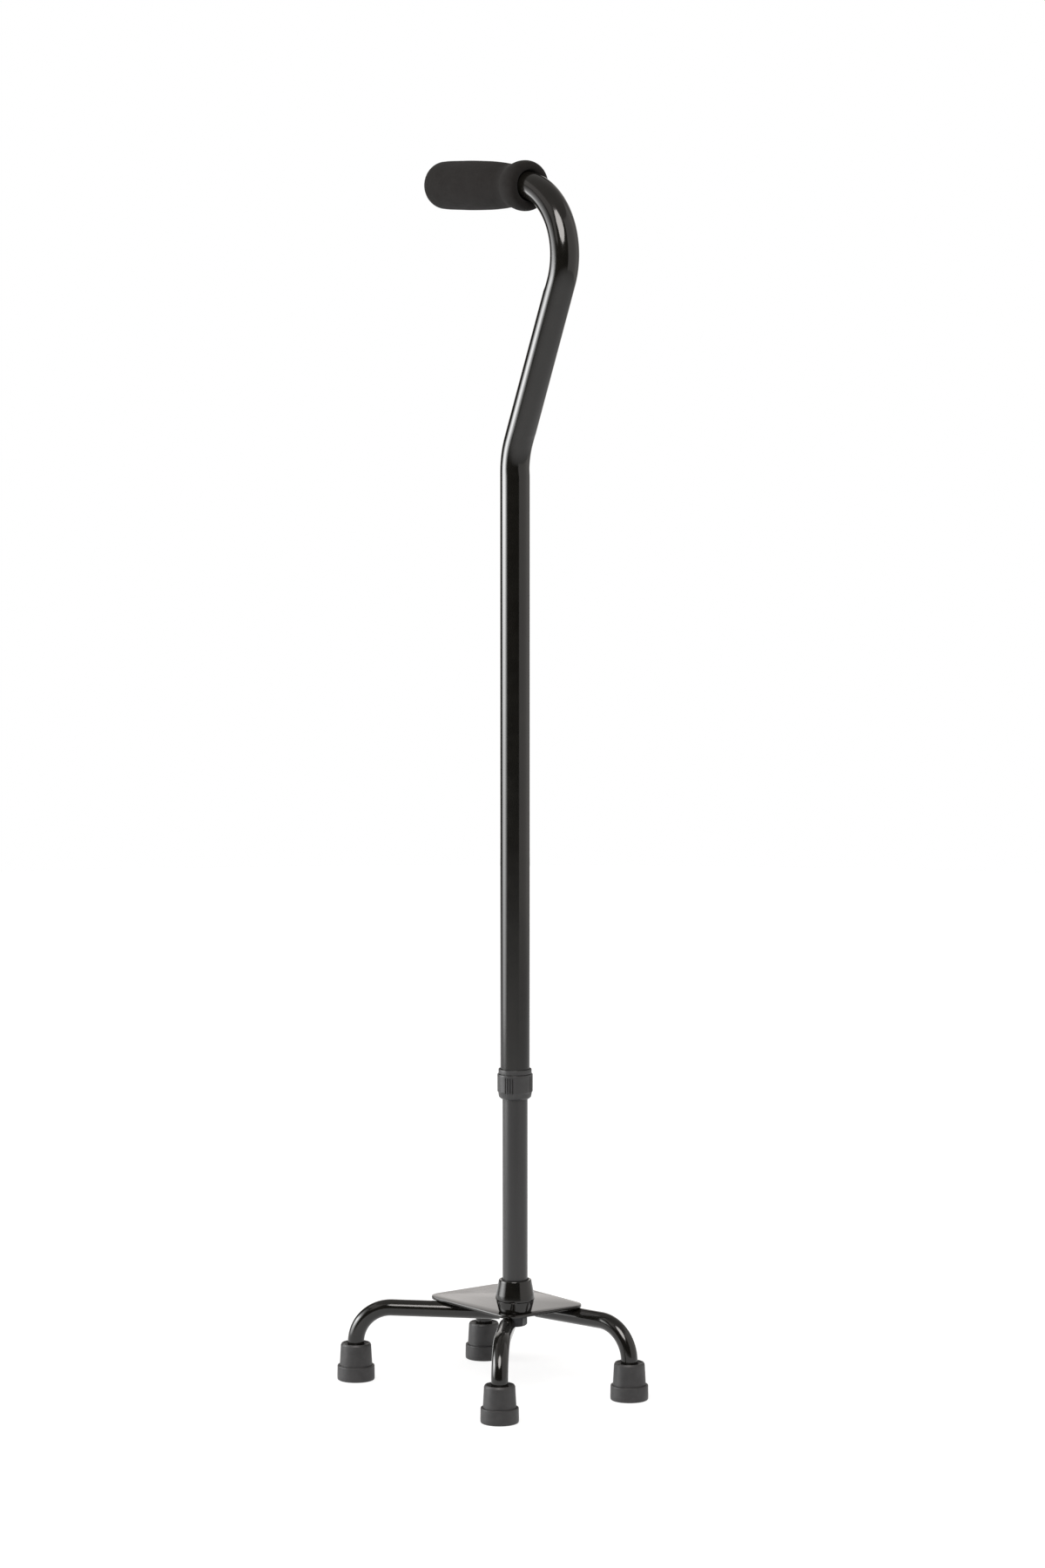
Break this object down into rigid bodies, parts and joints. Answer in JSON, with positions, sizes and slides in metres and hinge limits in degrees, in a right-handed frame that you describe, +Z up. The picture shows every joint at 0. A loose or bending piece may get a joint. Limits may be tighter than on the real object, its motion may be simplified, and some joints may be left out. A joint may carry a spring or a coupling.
{
  "type": "quad walking cane",
  "caption": "Walking cane with a foam offset grip, a telescopic shaft with a snap button and a threaded collar, and a low four-legged base with rubber tips.",
  "frame": {"origin": "on the ground under the middle of the whole cane", "axes": "+Z up along the shaft, +X forward from the grip's free end towards the gooseneck"},
  "size_m": [0.2104, 0.1522, 0.9305],
  "materials": {
    "gloss_tube": "gloss black coating",
    "satin_tube": "satin black coating",
    "gloss_steel": "gloss black coating",
    "foam": "matte closed-cell foam",
    "black_plastic": "satin moulded",
    "white_plastic": "natural moulded",
    "rubber": "matte moulded",
    "zinc": "zinc plated",
    "spring_steel": "spring temper"
  },
  "bodies": {
    "base": {"base_plate": "gloss_steel", "base_bolt": "zinc", "base_washer": "zinc", "hub_socket": "gloss_steel", "hub_collar": "gloss_steel", "lower_tube": "satin_tube", "tube_insert": "zinc", "guide_bush": "white_plastic", "button_spring": "spring_steel", "leg_front_left": "gloss_steel", "tip_front_left": "rubber", "tip_washer_front_left": "zinc", "leg_front_right": "gloss_steel", "tip_front_right": "rubber", "tip_washer_front_right": "zinc", "leg_rear_left": "gloss_steel", "tip_rear_left": "rubber", "tip_washer_rear_left": "zinc", "leg_rear_right": "gloss_steel", "tip_rear_right": "rubber", "tip_washer_rear_right": "zinc"},
    "upper_shaft": {"upper_tube": "gloss_tube", "foam_grip": "foam", "grip_plug": "black_plastic", "collar_bushing": "black_plastic"},
    "button": {"snap_button": "zinc"},
    "collet_ring": {"collet": "white_plastic"},
    "nut": {"lock_nut": "black_plastic"}
  },
  "joints": [
    {"name": "height_adjust", "type": "slide", "parent": "base", "child": "upper_shaft", "axis": [0, 0, 1], "range_m": [-0.127, 0.0254]},
    {"name": "button_press", "type": "slide", "parent": "base", "child": "button", "axis": [1, 0, 0], "range_m": [0, 0.004], "stiffness_N_per_m": 1500, "springref_m": -0.002, "deforming": ["button_spring"]},
    {"name": "collet_travel", "type": "slide", "parent": "upper_shaft", "child": "collet_ring", "axis": [0, 0, 1], "range_m": [-0.00112, 0]},
    {"name": "lock_nut_turn", "type": "hinge", "parent": "collet_ring", "child": "nut", "pos_m": [0.0315, -0.0016, 0.2388], "axis": [0, 0, 1], "range_deg": [-270, 0]}
  ],
  "couplings": [
    {"joint": "lock_nut_turn", "follows": "collet_travel", "rad_per_m": 4188.8}
  ]
}
